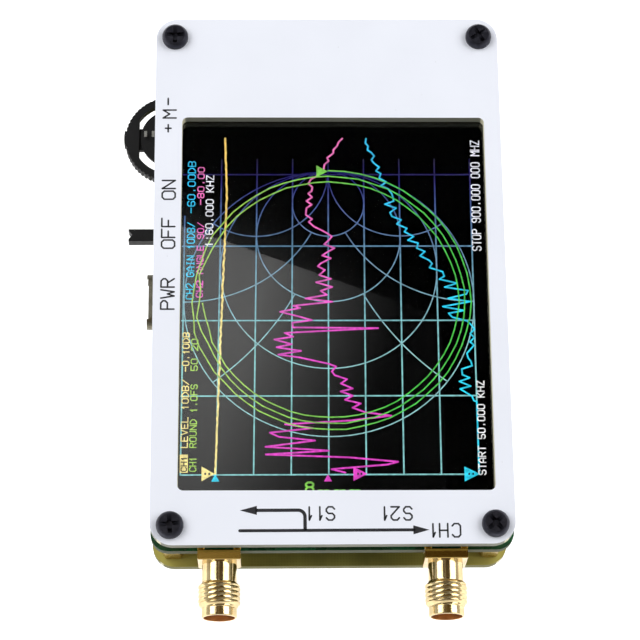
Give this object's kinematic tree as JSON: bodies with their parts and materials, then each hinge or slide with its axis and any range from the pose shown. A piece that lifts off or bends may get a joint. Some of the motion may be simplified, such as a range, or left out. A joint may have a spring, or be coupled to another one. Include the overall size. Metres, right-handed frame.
{
  "type": "vector network analyzer",
  "caption": "Open-frame handheld two-port vector network analyzer: colour display, stacked circuit-board plates, coaxial ports, jog wheel, slide switch and charge port.",
  "frame": {"origin": "middle of the instrument's outline, on the plane that the four back screw heads stand on", "axes": "+Z towards the viewer of the display, +Y away from the coaxial ports, -X towards the jog wheel, switch and charge port"},
  "size_m": [0.0592, 0.0953, 0.017],
  "materials": {
    "white_panel": "smooth white coating on glass-fibre board",
    "green_board": "smooth green coating on glass-fibre board",
    "black_screw": "black oxide",
    "standoff_brass": "turned",
    "port_gold": "polished gold plating",
    "contact_gold": "gold plating",
    "white_insulator": "waxy",
    "display_glass": "polished",
    "touch_glass": "polished",
    "clear_acrylic": "clear",
    "white_film": "satin",
    "tin_steel": "satin",
    "nickel_shell": "satin nickel",
    "black_plastic": "moulded, satin",
    "chip_plastic": "fine matt",
    "amber_flex": "smooth",
    "adhesive_tape": "matt",
    "battery_foil": "crimped foil",
    "lead_insulation": "smooth",
    "cream_plastic": "moulded",
    "tan_board": "pressed paper board",
    "tan_ceramic": "matt",
    "black_ceramic": "matt",
    "lamp_lens": "clear"
  },
  "bodies": {
    "chassis": {"front_panel": "white_panel", "back_panel": "white_panel", "main_board": "green_board", "front_screws": "black_screw", "back_screws": "black_screw", "front_spacers": "standoff_brass", "board_standoffs": "standoff_brass", "display_tape": "adhesive_tape", "display_tray": "tin_steel", "light_guide": "clear_acrylic", "backlight_lamps": "lamp_lens", "diffuser_film": "white_film", "display_cell": "display_glass", "display_driver": "chip_plastic", "touch_adhesive": "adhesive_tape", "touch_panel": "touch_glass", "touch_tail": "amber_flex", "display_ribbon": "amber_flex", "ribbon_socket": "cream_plastic", "data_port_shell": "nickel_shell", "data_port_tongue": "black_plastic", "data_port_contacts": "contact_gold", "power_switch_cover": "tin_steel", "power_switch_base": "tan_board", "power_switch_terminals": "contact_gold", "jog_base": "black_plastic", "jog_terminals": "contact_gold", "jog_snap_dome": "tin_steel", "battery_tape": "adhesive_tape", "battery_cell": "battery_foil", "battery_board": "green_board", "battery_leads": "lead_insulation", "battery_plug": "cream_plastic", "battery_socket": "cream_plastic", "microcontroller": "chip_plastic", "charger_chip": "chip_plastic", "mixer_chips": "chip_plastic", "clock_generator": "chip_plastic", "audio_converter": "chip_plastic", "reference_oscillator": "tin_steel", "voltage_regulators": "chip_plastic", "power_inductor": "black_ceramic", "ceramic_capacitors": "tan_ceramic", "chip_resistors": "black_ceramic", "status_lamps": "lamp_lens", "shield_can": "tin_steel", "port_one_body": "port_gold", "port_one_insulator": "white_insulator", "port_one_contact": "contact_gold", "port_two_body": "port_gold", "port_two_insulator": "white_insulator", "port_two_contact": "contact_gold"},
    "power_knob": {"power_switch_knob": "black_plastic", "power_switch_wiper": "contact_gold"},
    "jog_slider": {"jog_carriage": "black_plastic", "jog_pivot": "tin_steel", "jog_centering_spring": "tin_steel"},
    "jog_lever": {"jog_wheel": "black_plastic"}
  },
  "joints": [
    {"name": "power_slide", "type": "slide", "parent": "chassis", "child": "power_knob", "axis": [0, 1, 0], "range_m": [0, 0.002]},
    {"name": "jog_push", "type": "slide", "parent": "chassis", "child": "jog_slider", "axis": [1, 0, 0], "range_m": [0, 0.0005], "stiffness_N_per_m": 200, "deforming": ["jog_snap_dome"]},
    {"name": "jog_turn", "type": "hinge", "parent": "jog_slider", "child": "jog_lever", "pos_m": [-0.02475, 0.02495, 0.009], "axis": [0, 0, 1], "range_deg": [-12, 12], "stiffness_Nm_per_rad": 0.0005, "deforming": ["jog_centering_spring"]}
  ]
}
